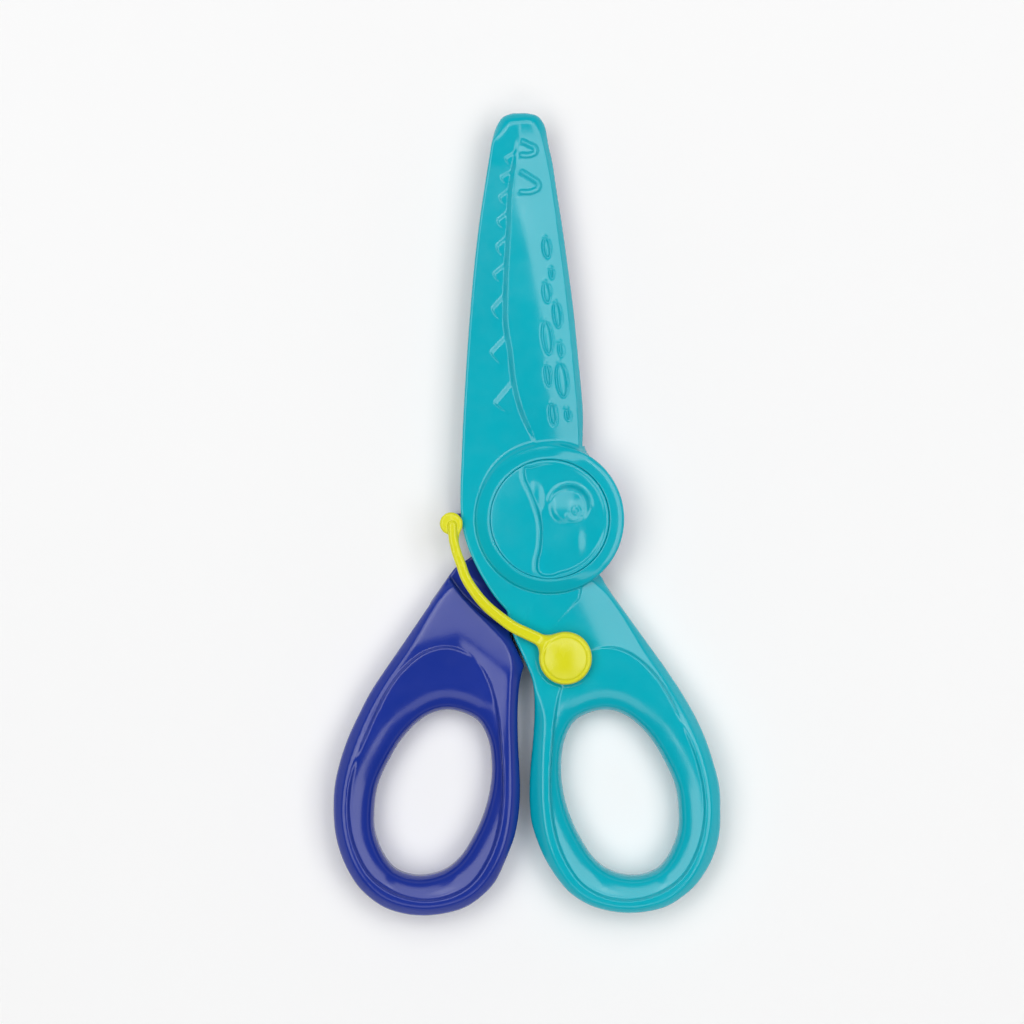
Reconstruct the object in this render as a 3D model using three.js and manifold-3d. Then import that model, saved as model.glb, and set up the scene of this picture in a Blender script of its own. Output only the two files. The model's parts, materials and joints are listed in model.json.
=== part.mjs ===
// Decorative edge scissors, closed, lying on their back: millimetres, +Z up, blade tips along +Y.
// The origin is where the pivot's axis meets the surface that the scissors rest on. The front half
// holds the right finger ring and lies on top, and the rear half turns clockwise under it to open.
import * as THREE from 'three';
import { mergeVertices } from 'three/addons/utils/BufferGeometryUtils.js';
import Module from 'manifold-3d';

const wasm = await Module();
wasm.setup();

// Heights of the layers.
const MATING_Z = 4.8;
const RING_TOP = 9.6;
const PANEL_TOP = 8.5;
const FRONT_HUB_Z = 5.1;
const FRONT_COVER_Z = [5.4, 8.6];
const FRONT_POCKET_TOP = 6.4;
const BOSS_TOP = 10.2;
const REAR_HUB_TOP = 4.5;
const REAR_COVER_Z = [1.0, 4.2];
const REAR_POCKET_FLOOR = 3.2;
const SHOULDER_TOP = 2.9;

// Radii about the pivot.
const BOSS_R = 14.8;
const CAP_R = 12.0;
const REAR_HUB_R = 14.2;
const FRONT_FULL_DEPTH_R = 21.2;
const REAR_FULL_DEPTH_R = 23.2;

// Blade strips: a wave that runs in circles about the pivot, so that the strips nest at every opening.
const BLADE_THICKNESS = 0.8;
const BLADE_CLEARANCE = 0.15;
const WAVE_HEIGHT = 0.5;
const WAVE_PITCH = 5;
const BLADE_HEEL_R = 17.5;
const STEPS_PER_WAVE = 4;

// The radial gap round a shaft, screw or pin.
const RUNNING_GAP = 0.1;

const LEVER_PIVOT = [3.1, -27.6];
const KNOB_R = 5.25;
const LEVER_Z = [8.8, 10.7];

const COLOURS = {
  teal: { color: 0x0aa9b8, roughness: 0.3, metalness: 0 },
  blue: { color: 0x26348c, roughness: 0.3, metalness: 0 },
  lime: { color: 0xd2d823, roughness: 0.3, metalness: 0 },
  steel: { color: 0xc4c8cc, roughness: 0.25, metalness: 1 },
  nylon: { color: 0xe8e6dd, roughness: 0.6, metalness: 0 },
};

// ---- geometry helpers ----

// A manifold solid from a closed three.js geometry.
function toSolid(geometry) {
  const bare = geometry.clone();
  bare.deleteAttribute('normal');
  bare.deleteAttribute('uv');
  const merged = mergeVertices(bare, 1e-4);
  const corners = merged.index.array;
  const triangles = [];
  for (let i = 0; i < corners.length; i += 3) {
    const [a, b, c] = corners.slice(i, i + 3);
    if (a !== b && b !== c && c !== a) triangles.push(a, b, c);
  }
  const vertProperties = new Float32Array(merged.attributes.position.array);
  const triVerts = new Uint32Array(triangles);
  return new wasm.Manifold(new wasm.Mesh({ numProp: 3, vertProperties, triVerts }));
}

function toGeometry(solid) {
  const mesh = solid.getMesh();
  const geometry = new THREE.BufferGeometry();
  geometry.setAttribute('position', new THREE.BufferAttribute(mesh.vertProperties, 3));
  geometry.setIndex(new THREE.BufferAttribute(mesh.triVerts, 1));
  geometry.computeVertexNormals();
  return geometry;
}

const vectors = (points) => points.map(([x, y]) => new THREE.Vector2(x, y));

// An upright solid on an outline, with both rims rounded over by `edge`.
function prism(points, [bottom, top], { holes = [], edge = 0, steps = 2 } = {}) {
  const shape = new THREE.Shape(vectors(points));
  shape.holes = holes.map((hole) => new THREE.Path(vectors(hole)));
  const geometry = new THREE.ExtrudeGeometry(shape, {
    depth: top - bottom - 2 * edge,
    bevelEnabled: edge > 0,
    bevelThickness: edge,
    bevelSize: edge,
    bevelOffset: -edge,
    bevelSegments: steps,
  });
  geometry.translate(0, 0, bottom + edge);
  return toSolid(geometry);
}

// A disc or bore about an upright axis through [x, y].
function disc(radius, [bottom, top], [x, y] = [0, 0], sides = 48) {
  const geometry = new THREE.CylinderGeometry(radius, radius, top - bottom, sides);
  geometry.rotateX(Math.PI / 2);
  geometry.translate(x, y, (bottom + top) / 2);
  return toSolid(geometry);
}

// A body of revolution from a closed profile of [radius, z], listed from the bottom outwards and up.
function turned(profile, [x, y] = [0, 0], sides = 48) {
  const geometry = new THREE.LatheGeometry(vectors(profile), sides);
  geometry.rotateX(Math.PI / 2);
  geometry.translate(x, y, 0);
  return toSolid(geometry);
}

// A ring with an outer and an inner radius.
function ring(outer, inner, [bottom, top], centre = [0, 0], sides = 36) {
  const profile = [[inner, bottom], [outer, bottom], [outer, top], [inner, top], [inner, bottom]];
  return turned(profile, centre, sides);
}

// Everything above a plane that passes through a point and climbs by `slope`, per millimetre of X and Y.
function abovePlane([x, y, z], slope) {
  const up = new THREE.Vector3(0, 0, 1);
  const normal = new THREE.Vector3(-slope[0], -slope[1], 1).normalize();
  const geometry = new THREE.BoxGeometry(120, 120, 20);
  geometry.translate(0, 0, 10);
  geometry.applyQuaternion(new THREE.Quaternion().setFromUnitVectors(up, normal));
  geometry.translate(x, y, z);
  return toSolid(geometry);
}

const curveThrough = (points, closed) => new THREE.CatmullRomCurve3(
  points.map(([x, y]) => new THREE.Vector3(x, y, 0)), closed, 'centripetal');

// A smooth open curve through the points, as `count` chords between neighbours.
function smooth(points, count = 3) {
  const curve = curveThrough(points, false);
  return curve.getPoints(count * (points.length - 1)).map(({ x, y }) => [x, y]);
}

// A smooth closed curve through the points.
function smoothLoop(points, count = 3) {
  const curve = curveThrough(points, true);
  return curve.getPoints(count * points.length).slice(0, -1).map(({ x, y }) => [x, y]);
}

// ---- outlines, in the plane of the scissors ----

// The front cover's left edge, from the shank up to the tip, and its right edge back down to the boss.
const COVER_LEFT = smooth([
  [-8.6, -18.3], [-13.0, -12.4], [-15.9, -6.6], [-17.7, 1.4], [-17.5, 13.8], [-16.3, 35.4],
  [-15.1, 49.8], [-13.3, 64.2], [-11.3, 76.2], [-10.1, 79.6], [-7.5, 81.1],
]);
const COVER_RIGHT = smooth([
  [-4.3, 81.1], [-1.6, 80.0], [-0.1, 76.2], [2.1, 64.2], [4.9, 42.6], [6.9, 21], [7.2, 11],
]);
const COVER_OUTLINE = [...COVER_LEFT, ...COVER_RIGHT, [9, 0], [6, -16], [-3, -26], [-7.3, -23.2]];

// The finger rings: the outer edge from the top of the shank round to the other side, and the hole.
const FRONT_HANDLE_OUTLINE = [
  [-7.3, -23.2],
  ...smooth([
    [-4.6, -29], [-3.3, -33], [-3.1, -42], [-3.9, -51], [-3.9, -58.2], [-2.9, -63], [-0.9, -67.8],
    [4, -74.5], [9.5, -77.6], [15.9, -78.5], [22.9, -77.4], [29.5, -72.6], [32.7, -67.2], [34.1, -58.2],
    [32.7, -48.6], [28.9, -39], [22.9, -29.4], [12.5, -15],
  ], 2),
  [10.6, -10.7], [2, -8],
];
const FRONT_HOLE = smoothLoop([
  [10.7, -38.2], [17.2, -40.6], [23.5, -48.6], [25.9, -59], [23.5, -67.8],
  [16.9, -71.4], [8.4, -67.2], [3.6, -58.2], [2.3, -48.6], [4.9, -41],
]);
const REAR_HANDLE_OUTLINE = [
  [-18.6, -9.5],
  ...smooth([
    [-33, -30.4], [-38.1, -39], [-41.9, -48.6], [-43.1, -58.2], [-41.3, -67.8], [-38, -73.4],
    [-33.1, -77.4], [-24.9, -79.1], [-16.7, -77.4], [-12, -74.2], [-8.7, -67.8], [-6.3, -59.5],
    [-6.1, -50], [-6.6, -41], [-6.2, -35], [-5.2, -29.2],
  ], 2),
  [-7.9, -23.2], [-7.4, -18],
];
const REAR_HOLE = smoothLoop([
  [-20, -38.2], [-26.6, -41], [-32.3, -48.6], [-35.2, -59.5], [-32.9, -67.8],
  [-26.2, -71.4], [-17.6, -67.6], [-12.9, -58.2], [-11.6, -48.6], [-14.2, -41],
]);

// The rear cover hides behind the front one. Its left side carries the cutting edge.
const REAR_COVER_LEFT = [[-9.2, 11], [-9.6, 19.8], [-10.2, 41.6], [-9.5, 66], [-8.8, 77.4]];
const REAR_COVER_RIGHT = [[-1.4, 76], [1.2, 64.2], [3.9, 42.6], [5.7, 26], [6.4, 11]];
const REAR_COVER_OUTLINE = [...REAR_COVER_LEFT, [-7.6, 79.4], [-3.4, 79.4], ...REAR_COVER_RIGHT];

// The two edges of each strip, from the heel to the point: the cutting edge and the held edge.
const FRONT_CUTTING_EDGE = [
  [6.6, 12], [6.4, 21], [4.4, 42.6], [1.6, 64.2], [-0.6, 76.6], [-1.4, 79.2], [-1.6, 84],
];
const FRONT_HELD_EDGE = [[-8.6, 12], [-8.7, 21], [-8.6, 42.6], [-8.4, 64.2], [-7.9, 76.6], [-7.6, 84]];
const REAR_CUTTING_EDGE = [[-9.6, 12], [-9.9, 21], [-10.5, 42.6], [-9.8, 66], [-9.1, 77.2], [-8.4, 84]];
const REAR_HELD_EDGE = [[4.2, 12], [4.1, 21], [2.6, 42.6], [-0.2, 64.2], [-2.4, 76.2], [-3.2, 84]];
const FRONT_POINT_R = 79.2;
const REAR_POINT_R = 78.2;
const PIN_RADII_AT = [24, 44, 64];

// The low shoulder that joins the rear hub to its handle, and the nose that loads the spring lever.
const SHOULDER_OUTLINE = [[-12.6, -5.5], [-18.9, -9.8], [-24, -17], [-12, -26], [-7.9, -23.2], [-2, -14]];
const LUG_OUTLINE = [[-13, 1.3], [-20.3, 1.3], [-20.3, 0.2], [-17.4, -0.4], [-13, -3]];

// The spring lever's ball end, with the peg under it, and the middle line of its arm.
const SPRING_PEG = [-19.6, -0.9];
const LEVER_ARM = smooth([
  [-19.5, -1.5], [-18.5, -6.6], [-16.7, -11.6], [-12.5, -17.3], [-7.1, -21.5], [-2.3, -23.8], [1, -25.4],
], 3);

// ---- blade strips ----

const wave = (r) => WAVE_HEIGHT * Math.sin((2 * Math.PI * r) / WAVE_PITCH);

// The polar angle at which an edge, listed from heel to point, crosses the circle of radius r.
function angleAt(edge, r) {
  for (let i = 1; i < edge.length; i += 1) {
    const near = new THREE.Vector2(...edge[i - 1]);
    const far = new THREE.Vector2(...edge[i]);
    if (far.length() < r) continue;
    const share = (r - near.length()) / (far.length() - near.length());
    return near.lerp(far, share).angle();
  }
  throw new Error(`the edge ends before radius ${r}`);
}

// A corrugated strip between two edges, `lift` above the mating plane, as rows of points on circles.
function strip(leftEdge, rightEdge, pointR, lift) {
  const spans = 4;
  const rows = Math.round(((pointR - BLADE_HEEL_R) * STEPS_PER_WAVE) / WAVE_PITCH);
  const position = [];
  const index = [];
  for (const side of [0, BLADE_THICKNESS]) {
    for (let row = 0; row <= rows; row += 1) {
      const r = THREE.MathUtils.lerp(BLADE_HEEL_R, pointR, row / rows);
      for (let span = 0; span <= spans; span += 1) {
        const angle = THREE.MathUtils.lerp(angleAt(leftEdge, r), angleAt(rightEdge, r), span / spans);
        position.push(r * Math.cos(angle), r * Math.sin(angle), MATING_Z + wave(r) + lift + side);
      }
    }
  }
  const layer = (rows + 1) * (spans + 1);
  const at = (side, row, span) => side * layer + row * (spans + 1) + span;
  const quad = (a, b, c, d) => index.push(a, b, c, a, c, d);
  for (let row = 0; row < rows; row += 1) {
    for (let span = 0; span < spans; span += 1) {
      quad(at(0, row, span), at(0, row + 1, span), at(0, row + 1, span + 1), at(0, row, span + 1));
      quad(at(1, row, span), at(1, row, span + 1), at(1, row + 1, span + 1), at(1, row + 1, span));
    }
    quad(at(0, row, 0), at(1, row, 0), at(1, row + 1, 0), at(0, row + 1, 0));
    quad(at(0, row, spans), at(0, row + 1, spans), at(1, row + 1, spans), at(1, row, spans));
  }
  for (let span = 0; span < spans; span += 1) {
    quad(at(0, 0, span), at(0, 0, span + 1), at(1, 0, span + 1), at(1, 0, span));
    quad(at(0, rows, span), at(1, rows, span), at(1, rows, span + 1), at(0, rows, span + 1));
  }
  const geometry = new THREE.BufferGeometry();
  geometry.setAttribute('position', new THREE.Float32BufferAttribute(position, 3));
  geometry.setIndex(index);
  return toSolid(geometry);
}

// Where the pins sit: on the strip's middle line, at fixed radii.
function pinCentres(leftEdge, rightEdge) {
  return PIN_RADII_AT.map((r) => {
    const angle = (angleAt(leftEdge, r) + angleAt(rightEdge, r)) / 2;
    return [r * Math.cos(angle), r * Math.sin(angle)];
  });
}

const FRONT_PINS = pinCentres(FRONT_HELD_EDGE, FRONT_CUTTING_EDGE);
const REAR_PINS = pinCentres(REAR_CUTTING_EDGE, REAR_HELD_EDGE);
const PIN_R = 0.9;
const PIN_HOLE_R = PIN_R + RUNNING_GAP + 0.02;
const PIN_LENGTH_IN_COVER = 1.1;
const PIN_HEAD_DEPTH = WAVE_HEIGHT + BLADE_CLEARANCE + 0.1;
const FRONT_PIN_Z = [MATING_Z + PIN_HEAD_DEPTH, FRONT_POCKET_TOP + PIN_LENGTH_IN_COVER];
const REAR_PIN_Z = [REAR_POCKET_FLOOR - PIN_LENGTH_IN_COVER, MATING_Z - PIN_HEAD_DEPTH];

const union = (solids) => solids.reduce((joined, solid) => joined.add(solid));
const cut = (solid, cutters) => cutters.reduce((left, cutter) => left.subtract(cutter), solid);

function bladeStrip(edges, pointR, lift, pins) {
  const holes = pins.map((centre) => disc(PIN_HOLE_R, [0, RING_TOP], centre, 20));
  return cut(strip(...edges, pointR, lift), holes);
}

// ---- the pivot ----

const SCREW_R = 1.5;
const BUSH_R = 2.9;
const BUSH_BORE_R = 1.65;
const BORE_R = 3.05;
const BUSH_Z = [3.6, 6.5];
const NUT_POCKET_Z = [1.4, 3.4];
const NUT_ACROSS_CORNERS_R = 3.1;
const HEAD_POCKET_Z = [6.6, 9.0];
const HEAD_POCKET_R = 5.2;
const WASHER_R = 4.8;
const HEAD_WASHER_Z = [6.68, 7.08];
const WAVE_WASHER_Z = [7.16, 7.56];
const SCREW_HEAD_Z = [7.75, 8.85];
const SCREW_HEAD_R = 4.0;
const REAR_CAP_R = 9;
const REAR_CAP_Z = [0, 1.1];
const THRUST_WASHER_Z = [4.58, 5.02];
const THRUST_WASHER_R = [8, 3.4];
const CAP_FLOOR = 9.05;
const CAP_WALL_TOP = 10.1;

// The screw's head lies in the front boss and its shank runs down to the nut in the rear hub.
function pivotScrew() {
  const [headBottom, headTop] = SCREW_HEAD_Z;
  const head = turned([[0, headBottom], [SCREW_HEAD_R, headBottom], [SCREW_HEAD_R, headTop - 0.4],
    [SCREW_HEAD_R - 0.8, headTop], [0, headTop]]);
  const shank = disc(SCREW_R, [NUT_POCKET_Z[0] + 0.1, headBottom + 0.2]);
  const slot = new THREE.BoxGeometry(2 * SCREW_HEAD_R + 1, 1, 1.2);
  slot.translate(0, 0, headTop);
  return head.add(shank).subtract(toSolid(slot));
}

function pivotNut() {
  const [bottom, top] = NUT_POCKET_Z;
  const outside = disc(NUT_ACROSS_CORNERS_R, [bottom + 0.1, top - 0.1], [0, 0], 6);
  return outside.subtract(disc(SCREW_R + RUNNING_GAP, [bottom, top]));
}

// A spring washer: a thin ring that waves up and down three times.
function waveWasher() {
  const [bottom, top] = WAVE_WASHER_Z;
  const thickness = 0.25;
  const rise = (top - bottom - thickness) / 2;
  const geometry = new THREE.LatheGeometry(
    vectors([[1.8, 0], [4.5, 0], [4.5, thickness], [1.8, thickness], [1.8, 0]]), 36);
  geometry.rotateX(Math.PI / 2);
  const position = geometry.attributes.position;
  for (let i = 0; i < position.count; i += 1) {
    const angle = Math.atan2(position.getY(i), position.getX(i));
    position.setZ(i, position.getZ(i) + bottom + rise * (1 + Math.sin(3 * angle)));
  }
  return toSolid(geometry);
}

// ---- the front half ----

const RING_EDGE = 2.2;

// The front shank is level with the cover, and a facet falls away from this point to its right edge.
const FRONT_FACET_FROM = [6, -17.5, PANEL_TOP];
const FRONT_FACET_SLOPE = [-0.171, -0.086];

// A pocket in a cover sits round the held edge of its blade strip, and is open past the cutting edge.
const POCKET_MARGIN = 0.5;
const beside = (edge, offset) => edge.slice(1, 5).map(([x, y]) => [x + offset, y]);

const LEVER_POST_R = 2.6;
const LEVER_POST_HOLE_R = 2.7;
const LEVER_RECESS_R = 4.2;
const LEVER_RECESS_TOP = 2.6;
const LEVER_POST_BOTTOM = 2.9;

function frontBody() {
  const cover = prism(COVER_OUTLINE, FRONT_COVER_Z, { edge: 0.7 });
  const boss = turned([[0, FRONT_HUB_Z], [BOSS_R, FRONT_HUB_Z], [BOSS_R, 8.6], [BOSS_R - 0.6, 9.7],
    [BOSS_R - 1.7, BOSS_TOP], [0, BOSS_TOP]], [0, 0], 64);
  const ringAndShank = { holes: [FRONT_HOLE], edge: RING_EDGE, steps: 3 };
  const handle = prism(FRONT_HANDLE_OUTLINE, [0, RING_TOP], ringAndShank);
  const shankArea = [[-30, -33.4], [0, -34], [6, -33.4], [30, -28], [30, 0], [-30, 0]];
  const aboveShank = prism(shankArea, [PANEL_TOP, 20]);
  const aboveFacet = abovePlane(FRONT_FACET_FROM, FRONT_FACET_SLOPE).intersect(prism(shankArea, [0, 20]));
  const rearHubRoom = disc(FRONT_FULL_DEPTH_R, [-1, FRONT_HUB_Z], [0, 0], 72);
  const shank = cut(handle, [aboveShank, aboveFacet, rearHubRoom]);
  const bladePocket = prism([[-9.3, 14.6], ...beside(FRONT_HELD_EDGE, -POCKET_MARGIN),
    [-8.2, 80.2], [2, 80.2], [12, 60], [12, 14.6]], [0, FRONT_POCKET_TOP]);
  const bores = [
    disc(BORE_R, [0, 20]),
    disc(HEAD_POCKET_R, HEAD_POCKET_Z),
    disc(CAP_R, [HEAD_POCKET_Z[1], 20], [0, 0], 64),
    disc(LEVER_POST_HOLE_R, [-1, 20], LEVER_PIVOT, 32),
    disc(LEVER_RECESS_R, [-1, LEVER_RECESS_TOP], LEVER_PIVOT, 32),
    ...FRONT_PINS.map((centre) => disc(PIN_HOLE_R, [0, FRONT_PIN_Z[1] + 0.1], centre, 20)),
  ];
  return cut(union([cover, boss, shank]), [bladePocket, ...bores]);
}

const EYE_BALL_R = 8.5;
const EYE_X = 3.6;
const EYE_TOP = 10.7;

// The cap is a low disc, and the eye bulges out of it on the right.
function eyeCap() {
  const rim = CAP_R - 0.15;
  const wallTop = [[rim, CAP_WALL_TOP - 0.2], [rim - 0.4, CAP_WALL_TOP]];
  const cap = turned([[0, CAP_FLOOR], [rim, CAP_FLOOR], ...wallTop, [0, CAP_WALL_TOP]], [0, 0], 64);
  const eyeBall = new THREE.SphereGeometry(EYE_BALL_R, 32, 24);
  eyeBall.translate(EYE_X, 0, EYE_TOP - EYE_BALL_R);
  const ballAboveFloor = toSolid(eyeBall).intersect(disc(rim - 0.8, [CAP_FLOOR, 20]));
  return cap.add(ballAboveFloor);
}

// ---- the rear half ----

// The rear shank's face is a ramp that climbs from its upper corner towards the ring.
const REAR_RAMP_FROM = [-19, -13.6, 6.2];
const REAR_RAMP_SLOPE = [0.065, -0.125];

function rearBody() {
  const cover = prism(REAR_COVER_OUTLINE, REAR_COVER_Z, { edge: 0.6 });
  const hub = disc(REAR_HUB_R, [0, REAR_HUB_TOP], [0, 0], 64);
  const ringAndShank = { holes: [REAR_HOLE], edge: RING_EDGE, steps: 3 };
  const handle = prism(REAR_HANDLE_OUTLINE, [0, RING_TOP], ringAndShank);
  const shankArea = [[-50, -30.5], [-29, -29.8], [-20.5, -25.4], [-13.9, -28.6], [-9.5, -34],
    [5, -34], [5, 0], [-50, 0]];
  const aboveRamp = abovePlane(REAR_RAMP_FROM, REAR_RAMP_SLOPE).intersect(prism(shankArea, [0, 20]));
  const frontRoom = disc(REAR_FULL_DEPTH_R, [SHOULDER_TOP, 20], [0, 0], 72);
  const hubRoom = disc(REAR_HUB_R - 1, [-1, 20], [0, 0], 64);
  const shank = cut(handle, [aboveRamp, frontRoom, hubRoom]);
  const shoulder = prism(SHOULDER_OUTLINE, [0, SHOULDER_TOP]);
  const lug = prism(LUG_OUTLINE, [REAR_COVER_Z[0], MATING_Z]);
  const neck = prism([[-9, 8], [-9, 14], [6.2, 14], [6.2, 8]], REAR_COVER_Z);
  const bladePocket = prism([[-14, 14.3], [-14, 60], [-12, 82], [-2.9, 82],
    ...beside(REAR_HELD_EDGE, POCKET_MARGIN).reverse(), [4.7, 14.3]], [REAR_POCKET_FLOOR, 20]);
  const bores = [
    disc(BORE_R, [NUT_POCKET_Z[1] - 1, 20]),
    disc(NUT_ACROSS_CORNERS_R + 0.15, [0, NUT_POCKET_Z[1]], [0, 0], 6),
    disc(REAR_CAP_R + 0.15, [-1, REAR_CAP_Z[1] + 0.1], [0, 0], 64),
    ...REAR_PINS.map((centre) => disc(PIN_HOLE_R, [REAR_PIN_Z[0] - 0.1, 20], centre, 20)),
  ];
  return cut(union([cover, hub, shank, shoulder, lug, neck]), [bladePocket, ...bores]);
}

function rearCap() {
  const [bottom, top] = REAR_CAP_Z;
  const chamfer = [[REAR_CAP_R - 0.3, bottom], [REAR_CAP_R, bottom + 0.3]];
  return turned([[0, bottom], ...chamfer, [REAR_CAP_R, top], [0, top]]);
}

// ---- the spring lever ----

const LEVER_SCREW_R = 1.1;
const LEVER_SCREW_HEAD_R = 2.9;
const LEVER_SCREW_HEAD_Z = [0.5, 1.8];
const LEVER_SCREW_TOP = 7.4;
const LEVER_WASHER_R = 3.9;
const LEVER_WASHER_Z = [1.95, 2.45];
const PEG_R = 0.9;
const PEG_BOTTOM = 3.2;

// The arm's outline: its middle line, offset by half its width, which grows towards the knob.
function armOutline() {
  const curve = curveThrough(LEVER_ARM, false);
  const steps = 20;
  const left = [];
  const right = [];
  for (let i = 0; i <= steps; i += 1) {
    const share = i / steps;
    const point = curve.getPointAt(share);
    const ahead = curve.getTangentAt(share);
    const half = THREE.MathUtils.lerp(0.9, 1.25, share);
    left.push([point.x - ahead.y * half, point.y + ahead.x * half]);
    right.push([point.x + ahead.y * half, point.y - ahead.x * half]);
  }
  return [...left, ...right.reverse()];
}

function springLever() {
  const [bottom, top] = LEVER_Z;
  const arm = prism(armOutline(), [bottom, top], { edge: 0.35 });
  const knob = turned([[0, bottom], [KNOB_R, bottom], [KNOB_R, top], [4.6, 11.1], [3.2, 11.6], [1.5, 11.8],
    [0, 11.85]], LEVER_PIVOT, 40);
  const ballProfile = [[0, bottom], [2.1, bottom], [2.25, 9.6], [1.9, 10.5], [1, 11], [0, 11.1]];
  const ball = turned(ballProfile, SPRING_PEG, 24);
  const peg = disc(PEG_R, [PEG_BOTTOM, bottom + 0.5], SPRING_PEG, 16);
  const post = disc(LEVER_POST_R, [LEVER_POST_BOTTOM, bottom + 0.5], LEVER_PIVOT, 32);
  const screwHole = disc(LEVER_SCREW_R + RUNNING_GAP, [0, 8], LEVER_PIVOT, 20);
  return union([arm, knob, ball, peg, post]).subtract(screwHole);
}

function leverScrew() {
  const [bottom, shoulder] = LEVER_SCREW_HEAD_Z;
  const head = [[0, bottom], [LEVER_SCREW_HEAD_R - 0.3, bottom], [LEVER_SCREW_HEAD_R, bottom + 0.3],
    [LEVER_SCREW_HEAD_R, shoulder]];
  const shank = [[LEVER_SCREW_R, shoulder], [LEVER_SCREW_R, LEVER_SCREW_TOP], [0, LEVER_SCREW_TOP]];
  return turned([...head, ...shank], LEVER_PIVOT, 24);
}

// ---- the assembly ----

const group = new THREE.Group();

function addPiece(name, look, solid) {
  const mesh = new THREE.Mesh(toGeometry(solid), new THREE.MeshStandardMaterial(COLOURS[look]));
  mesh.name = name;
  group.add(mesh);
}

addPiece('front_body', 'teal', frontBody());
addPiece('eye_cap', 'teal', eyeCap());
addPiece('rear_body', 'blue', rearBody());
addPiece('rear_cap', 'blue', rearCap());
const FRONT_LIFT = BLADE_CLEARANCE;
const REAR_LIFT = -BLADE_CLEARANCE - BLADE_THICKNESS;
addPiece('front_blade', 'steel',
  bladeStrip([FRONT_HELD_EDGE, FRONT_CUTTING_EDGE], FRONT_POINT_R, FRONT_LIFT, FRONT_PINS));
addPiece('rear_blade', 'steel',
  bladeStrip([REAR_CUTTING_EDGE, REAR_HELD_EDGE], REAR_POINT_R, REAR_LIFT, REAR_PINS));
FRONT_PINS.forEach((centre, i) => {
  addPiece(`front_blade_pin_${i + 1}`, 'steel', disc(PIN_R, FRONT_PIN_Z, centre, 16));
});
REAR_PINS.forEach((centre, i) => {
  addPiece(`rear_blade_pin_${i + 1}`, 'steel', disc(PIN_R, REAR_PIN_Z, centre, 16));
});
addPiece('pivot_screw', 'steel', pivotScrew());
addPiece('pivot_nut', 'steel', pivotNut());
addPiece('pivot_bush', 'nylon', ring(BUSH_R, BUSH_BORE_R, BUSH_Z));
addPiece('thrust_washer', 'nylon', ring(...THRUST_WASHER_R, THRUST_WASHER_Z));
addPiece('head_washer', 'steel', ring(WASHER_R, BUSH_BORE_R, HEAD_WASHER_Z));
addPiece('wave_washer', 'steel', waveWasher());
addPiece('spring_lever', 'lime', springLever());
addPiece('lever_washer', 'steel',
  ring(LEVER_WASHER_R, LEVER_SCREW_R + RUNNING_GAP, LEVER_WASHER_Z, LEVER_PIVOT, 32));
addPiece('lever_screw', 'steel', leverScrew());

export default group;
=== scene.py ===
"""Decorative edge scissors: the looks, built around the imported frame. The halves lie closed on their back,
+Z towards the viewer and the blade tips along +Y. Shapes are worked out in millimetres, in the frame's own
coordinates, and meshes are made in metres."""
import json
import math

import bpy
import numpy as np
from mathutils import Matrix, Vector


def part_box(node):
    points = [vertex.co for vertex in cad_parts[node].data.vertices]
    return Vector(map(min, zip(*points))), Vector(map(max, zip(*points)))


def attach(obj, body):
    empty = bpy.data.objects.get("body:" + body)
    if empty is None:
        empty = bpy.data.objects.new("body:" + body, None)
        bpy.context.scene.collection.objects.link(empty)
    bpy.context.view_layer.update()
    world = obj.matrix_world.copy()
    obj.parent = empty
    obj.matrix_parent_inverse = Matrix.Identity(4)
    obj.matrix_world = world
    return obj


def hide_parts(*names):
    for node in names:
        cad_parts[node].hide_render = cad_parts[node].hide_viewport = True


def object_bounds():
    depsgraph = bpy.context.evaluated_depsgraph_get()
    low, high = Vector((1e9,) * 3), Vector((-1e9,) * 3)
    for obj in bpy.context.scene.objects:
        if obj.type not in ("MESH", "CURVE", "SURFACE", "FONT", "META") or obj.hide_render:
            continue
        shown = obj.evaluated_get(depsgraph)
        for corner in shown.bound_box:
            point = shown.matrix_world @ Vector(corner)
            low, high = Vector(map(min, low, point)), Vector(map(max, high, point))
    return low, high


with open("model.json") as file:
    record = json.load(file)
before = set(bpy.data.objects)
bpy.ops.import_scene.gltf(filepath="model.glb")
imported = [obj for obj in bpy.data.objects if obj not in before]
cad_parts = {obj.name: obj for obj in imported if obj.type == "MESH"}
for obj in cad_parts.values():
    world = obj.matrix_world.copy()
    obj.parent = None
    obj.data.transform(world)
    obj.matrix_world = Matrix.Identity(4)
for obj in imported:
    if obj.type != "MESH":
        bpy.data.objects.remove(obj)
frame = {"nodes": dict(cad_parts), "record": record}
CAD_BOUNDS = [list(corner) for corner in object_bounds()]

MM = 0.001


def node_box(node):
    """The lowest and highest corner of a CAD node, in millimetres."""
    low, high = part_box(node)
    return np.array(low) / MM, np.array(high) / MM


# Spacing of the grids that the skins are drawn on.
CELL = 0.3
FINE_CELL = 0.2
CAP_CELL = 0.2
BLADE_CELL = 0.22
LEVER_CELL = 0.15
SCREW_CELL = 0.14

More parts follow.
